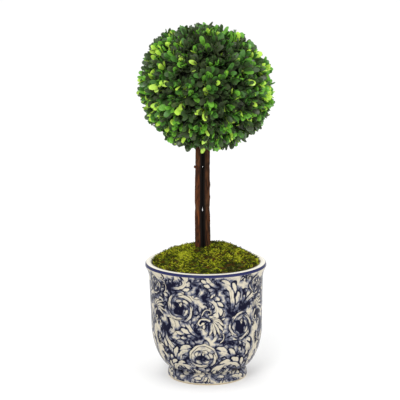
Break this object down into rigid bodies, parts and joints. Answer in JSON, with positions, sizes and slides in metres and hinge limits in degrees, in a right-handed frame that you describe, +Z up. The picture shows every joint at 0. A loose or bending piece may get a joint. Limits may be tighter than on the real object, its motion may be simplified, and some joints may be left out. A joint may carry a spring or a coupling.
{
  "type": "potted topiary",
  "caption": "Clipped ball of small leaves on two bare stems side by side, standing in moss in a glazed footed pot with a rolled lip.",
  "frame": {"origin": "middle of the plant's plan, on the surface that the pot stands on", "axes": "+Z up the stems, -Y the side that the picture shows, +X to that side's right"},
  "size_m": [0.1695, 0.1705, 0.4416],
  "materials": {
    "glaze": "gloss glaze, cream ground with navy scrolls",
    "planting_fill": "matt",
    "moss": "matt, mossy",
    "bark": "rough bark",
    "leaves": "soft sheen"
  },
  "bodies": {
    "root": {"pot": "glaze", "planting_fill": "planting_fill", "moss": "moss", "stem_left": "bark", "stem_right": "bark", "boxwood_ball": "leaves"}
  },
  "joints": []
}
